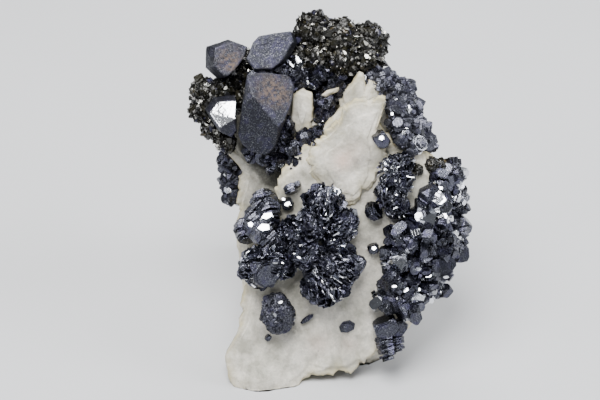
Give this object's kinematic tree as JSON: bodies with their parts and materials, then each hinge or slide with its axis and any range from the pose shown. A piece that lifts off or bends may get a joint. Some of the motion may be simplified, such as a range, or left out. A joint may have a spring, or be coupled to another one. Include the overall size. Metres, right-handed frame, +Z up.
{
  "type": "galena with sphalerite specimen",
  "caption": "Standing mineral specimen: leaning white calcite blade with blocky and leafy grey galena crystals and a dark sphalerite crown, flat underneath.",
  "frame": {"origin": "middle of the flat base, on the surface that the specimen stands on", "axes": "+Z up; +Y away from the viewer, so the front blade faces -Y and leans back; +X to the right"},
  "size_m": [0.0761, 0.0669, 0.0833],
  "materials": {
    "calcite": "matte",
    "galena_matt": "satin",
    "galena_bright": "gloss",
    "sphalerite": "gloss"
  },
  "bodies": {
    "root": {"calcite_matrix": "calcite", "galena_block_front": "galena_matt", "galena_block_top": "galena_matt", "galena_block_left": "galena_matt", "galena_block_mirror": "galena_matt", "galena_cluster_left_back": "galena_matt", "galena_crust_upper_right": "galena_matt", "galena_cluster_back_low": "galena_matt", "galena_cluster_back_high": "galena_matt", "galena_barrel": "galena_matt", "galena_chip_left": "galena_matt", "galena_chip_right": "galena_matt", "sphalerite_crown": "sphalerite", "sphalerite_collar": "sphalerite", "sphalerite_patch_back": "sphalerite", "sphalerite_patch_right": "sphalerite", "sphalerite_bead": "sphalerite", "galena_druse_inner": "galena_bright", "galena_shoulder": "galena_bright", "galena_crust_flank": "galena_bright", "galena_foot_crystal": "galena_bright", "galena_rosette": "galena_bright", "galena_pair_left": "galena_bright", "galena_skeletal_small": "galena_bright", "galena_grain_bright": "galena_bright", "galena_leafy_small": "galena_bright", "galena_cube_small": "galena_bright", "galena_bright_upper": "galena_bright", "galena_grain_low": "galena_bright"}
  },
  "joints": []
}
